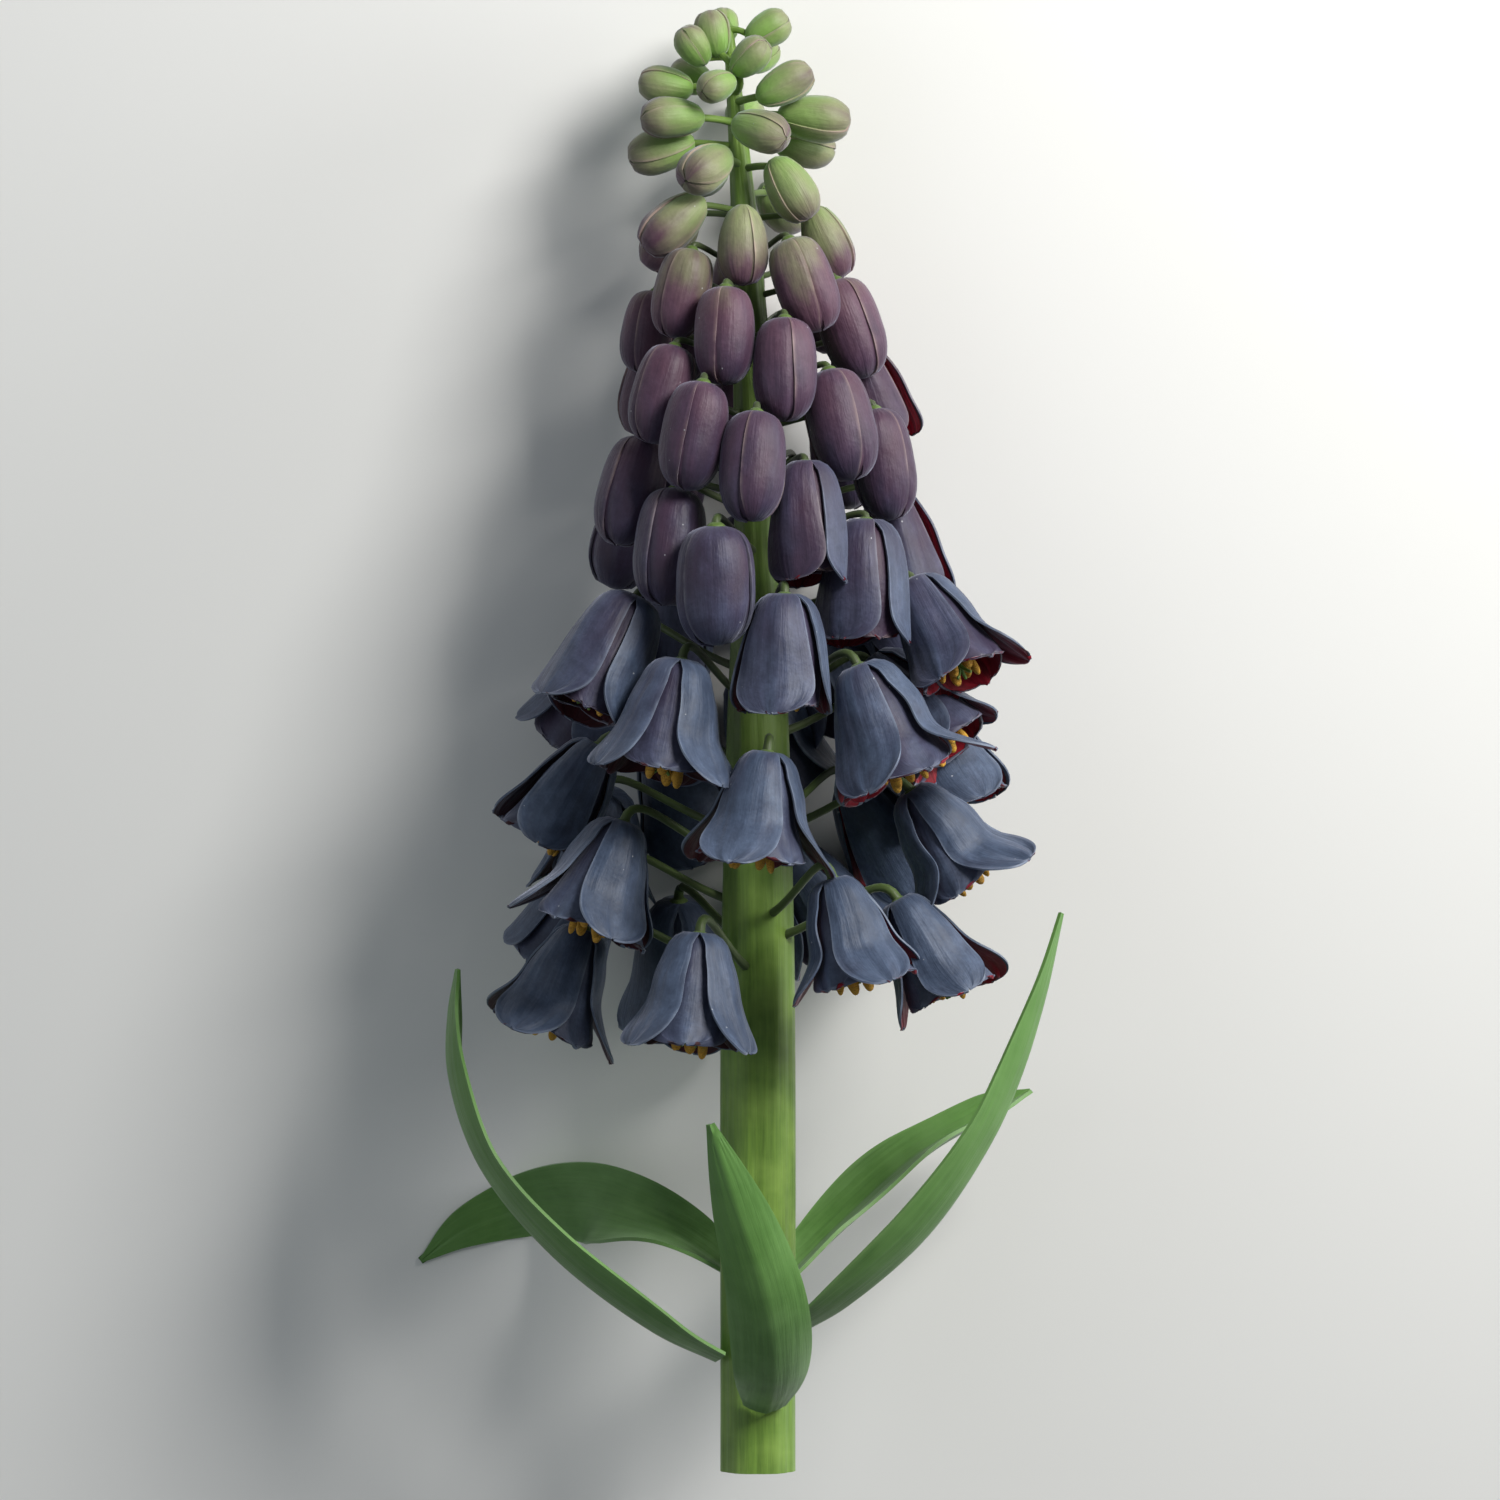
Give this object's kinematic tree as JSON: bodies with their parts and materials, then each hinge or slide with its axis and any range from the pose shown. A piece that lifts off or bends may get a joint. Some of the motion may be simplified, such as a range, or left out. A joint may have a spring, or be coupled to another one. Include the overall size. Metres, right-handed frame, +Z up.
{
  "type": "persian lily flower stem",
  "caption": "Cut persian lily lying on a surface: plum buds and open slate-blue bells hang on curved green stalks round a thick stem with lance-shaped leaves.",
  "frame": {"origin": "on the surface that the stem lies on, under the middle of the whole stem's box", "axes": "+Y runs along the lying stem towards its tip, +X across it, +Z up from the surface"},
  "size_m": [0.119, 0.2642, 0.0854],
  "materials": {
    "stem_green": "satin",
    "plum_bud": "satin",
    "slate_bell": "matt with a pale bloom",
    "leaf_green": "satin"
  },
  "bodies": {
    "root": {"stem": "stem_green", "flower_1": "plum_bud", "flower_2": "plum_bud", "flower_3": "plum_bud", "flower_4": "plum_bud", "flower_5": "plum_bud", "flower_6": "plum_bud", "flower_7": "plum_bud", "flower_8": "plum_bud", "flower_9": "plum_bud", "flower_10": "plum_bud", "flower_11": "plum_bud", "flower_12": "slate_bell", "flower_13": "plum_bud", "flower_14": "plum_bud", "flower_15": "plum_bud", "flower_16": "plum_bud", "flower_17": "plum_bud", "flower_18": "plum_bud", "flower_19": "plum_bud", "flower_20": "plum_bud", "flower_21": "plum_bud", "flower_22": "plum_bud", "flower_23": "plum_bud", "flower_24": "plum_bud", "flower_25": "slate_bell", "flower_26": "plum_bud", "flower_27": "plum_bud", "flower_28": "slate_bell", "flower_29": "plum_bud", "flower_30": "plum_bud", "flower_31": "plum_bud", "flower_32_37": "slate_bell", "flower_33": "slate_bell", "flower_34": "slate_bell", "flower_35_39_41": "slate_bell", "flower_36": "slate_bell", "flower_38": "slate_bell", "flower_40": "slate_bell", "flower_42": "slate_bell", "flower_43": "slate_bell", "flower_44": "slate_bell", "flower_45": "slate_bell", "flower_46_53": "slate_bell", "flower_47_50": "slate_bell", "flower_48": "slate_bell", "flower_49": "slate_bell", "flower_51": "slate_bell", "flower_52": "slate_bell", "flower_54": "slate_bell", "flower_55": "slate_bell", "leaf_right": "leaf_green", "leaf_left": "leaf_green", "leaf_near": "leaf_green", "leaf_far": "leaf_green", "leaf_trailing": "leaf_green"}
  },
  "joints": []
}
